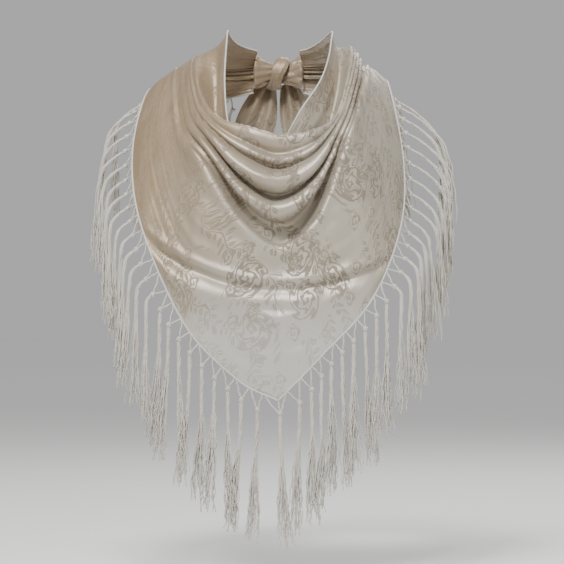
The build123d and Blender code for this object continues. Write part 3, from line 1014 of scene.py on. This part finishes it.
class SHAWL_OT_tied_ends(bpy.types.Operator):
    """Build the knot at the nape and the two ends that hang from it."""

    bl_idname = "shawl.tied_ends"
    bl_label = "Tied ends"

    def execute(self, context):
        low, high = (np.array(corner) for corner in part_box("nape_knot"))
        centre, half = (low + high) / 2, (high - low) / 2
        columns, rows = 72, 40
        places, faces, flat = [], [], []
        for piece in ("lobes", "wrap"):
            faces += grid_faces(rows + 1, columns, len(places), wrap=True)
            for r in range(rows + 1):
                for c in range(columns):
                    turn = 2 * math.pi * c / columns
                    shape = self.lobes if piece == "lobes" else self.wrap
                    places.append(centre + half * shape(2 * r / rows - 1, turn))
                    flat.append((0.05 * r / rows, 0.1 * c / columns))
        knot = make_object("shawl_nape_knot", places, faces, finish_of("silk"), "shawl")
        lay_flat(knot, flat)
        keep(knot, "silk", "nape_knot")
        for name, way in (("left_tail", -1), ("right_tail", 1)):
            self.tail(name, way)
        return {"FINISHED"}

    def lobes(self, along, turn):
        """The two gathered ends, drawn in where the wrap goes round them: a place in a unit box."""
        waist = WAIST + (1 - WAIST) * abs(along) ** 1.6
        pleats = 1 + 0.055 * math.sin(11 * turn + 5 * along) + 0.05 * math.sin(5 * turn - 7 * along)
        close = math.sqrt(max(0.0, 1 - abs(along) ** 24))
        return np.array([
            LOBE_REACH * along,
            0.62 * waist * pleats * close * math.cos(turn) - 0.22 * abs(along),
            waist * pleats * close * math.sin(turn) + 0.06 * abs(along) ** 3,
        ])

    def wrap(self, around, turn):
        """The band that is wound once round both ends."""
        ring = math.pi * around
        width = 0.34 + 0.05 * math.sin(3 * ring)
        thick = WRAP_THICKNESS * (1 + 0.16 * math.sin(6 * turn + 2 * ring))
        out = WRAP_RADIUS + thick * math.cos(turn)
        slant = 0.22 * math.sin(ring)
        return np.array([width * math.sin(turn) + slant, out * math.cos(ring), out * math.sin(ring)])

    def tail(self, name, way):
        """One end of the cloth: pleated where it leaves the knot, then a soft point."""
        low, high = (np.array(corner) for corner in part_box(name))
        middle = (low[1] + high[1]) / 2 - 1.5 * MM
        top = np.array([way * TAIL_APART, middle, high[2] + TAIL_TUCK])
        length = high[2] - low[2] + TAIL_TUCK
        splay = TAIL_SPLAY * way
        rows, columns = 50, 40
        places, flat = [], []
        for r in range(rows + 1):
            down = r / rows
            if down < TAIL_WIDEST:
                opened = math.sin(down / TAIL_WIDEST * math.pi / 2)
                half = TAIL_NARROW + (TAIL_WIDE - TAIL_NARROW) * opened
            else:
                half = TAIL_WIDE * (1 - down) / (1 - TAIL_WIDEST) + TAIL_TIP
            for c in range(columns + 1):
                side = 2 * c / columns - 1
                depth = TAIL_PLEATS * math.sin(side * 7 + down * 3) * (1 - 0.6 * down)
                x, z = side * half, -down * length
                places.append((
                    top[0] + x * math.cos(splay) - z * math.sin(splay),
                    top[1] + depth,
                    top[2] + x * math.sin(splay) + z * math.cos(splay),
                ))
                flat.append((x + way * 0.3, z))
        piece = make_object(
            "shawl_" + name, places, grid_faces(rows + 1, columns + 1), finish_of("silk"), "shawl"
        )
        lay_flat(piece, flat)
        thicken(piece, bpy.context.scene.shawl_sizes.silk_thickness)
        keep(piece, "silk", name)


class SHAWL_OT_declare(bpy.types.Operator):
    """Find the silk and the pieces that hang on it, without stating anything about them."""

    bl_idname = "shawl.declare"
    bl_label = "Declare the cloth"

    def execute(self, context):
        silk = bpy.data.objects["shawl_silk"]
        ours = (o for o in bpy.data.objects if o.name.startswith(("shawl_", "threads_")))
        pieces = [o for o in ours if o != silk]
        return {"FINISHED"}


class SHAWL_OT_stage(bpy.types.Operator):
    """Build the floor, the lights and the camera."""

    bl_idname = "shawl.stage"
    bl_label = "Stage"

    def execute(self, context):
        scene = context.scene
        height = CAD_BOX[0][2] - FLOOR_GAP
        turns = np.linspace(0, 2 * math.pi, 64, endpoint=False)
        rim = [(FLOOR_RADIUS * math.cos(t), FLOOR_RADIUS * math.sin(t), height) for t in turns]
        floor_mesh = bpy.data.meshes.new("floor")
        floor_mesh.from_pydata(rim, [], [tuple(range(len(rim)))])
        floor_mesh.materials.append(floor_material(tuple(scene.shawl_colours.floor)))
        floor = bpy.data.objects.new("floor", floor_mesh)
        scene.collection.objects.link(floor)
        for name, place, aim, size, power in LIGHTS:
            light = bpy.data.lights.new(name, "AREA")
            light.size = size
            light.energy = power
            lamp = bpy.data.objects.new(name, light)
            lamp.location = place
            lamp.rotation_euler = (Vector(aim) - Vector(place)).to_track_quat("-Z", "Y").to_euler()
            scene.collection.objects.link(lamp)
        world = bpy.data.worlds.new("studio")
        world.use_nodes = True
        sky = world.node_tree.nodes["Background"]
        sky.inputs["Color"].default_value = WORLD
        sky.inputs["Strength"].default_value = WORLD_STRENGTH
        scene.world = world
        lens = bpy.data.cameras.new("camera")
        lens.sensor_width = SENSOR_WIDTH
        lens.lens = SENSOR_WIDTH * (-CAMERA_PLACE[1] - CLOTH_DEPTH) / FRAME_WIDTH
        lens.clip_end = VIEW_LIMIT
        camera = bpy.data.objects.new("camera", lens)
        camera.location = CAMERA_PLACE
        camera.rotation_euler = (math.pi / 2, 0, 0)
        scene.collection.objects.link(camera)
        scene.camera = camera
        return {"FINISHED"}


class SHAWL_PT_panel(bpy.types.Panel):
    """Lists the sizes, the colours and the pieces."""

    bl_idname = "SHAWL_PT_panel"
    bl_label = "Shawl"
    bl_space_type = "VIEW_3D"
    bl_region_type = "UI"
    bl_category = "Shawl"

    def draw(self, context):
        for group in (context.scene.shawl_sizes, context.scene.shawl_colours):
            for name in group.__annotations__:
                self.layout.prop(group, name)
        for operator in OPERATORS:
            self.layout.operator(operator.bl_idname)


OPERATORS = (
    SHAWL_OT_silk, SHAWL_OT_hems, SHAWL_OT_tassels, SHAWL_OT_back_tassels, SHAWL_OT_net,
    SHAWL_OT_tied_ends, SHAWL_OT_declare, SHAWL_OT_stage,
)
CLASSES = (ShawlSizes, ShawlColours, *OPERATORS, SHAWL_PT_panel)


def register():
    for item in CLASSES:
        bpy.utils.register_class(item)
    bpy.types.Scene.shawl_sizes = PointerProperty(type=ShawlSizes)
    bpy.types.Scene.shawl_colours = PointerProperty(type=ShawlColours)


def unregister():
    del bpy.types.Scene.shawl_colours
    del bpy.types.Scene.shawl_sizes
    for item in reversed(CLASSES):
        bpy.utils.unregister_class(item)


def main():
    """Builds every piece in order."""
    register()
    bpy.ops.shawl.silk()
    bpy.ops.shawl.hems()
    bpy.ops.shawl.tassels()
    bpy.ops.shawl.back_tassels()
    bpy.ops.shawl.net()
    bpy.ops.shawl.tied_ends()
    bpy.ops.shawl.declare()
    bpy.ops.shawl.stage()


if __name__ == "__main__":
    main()
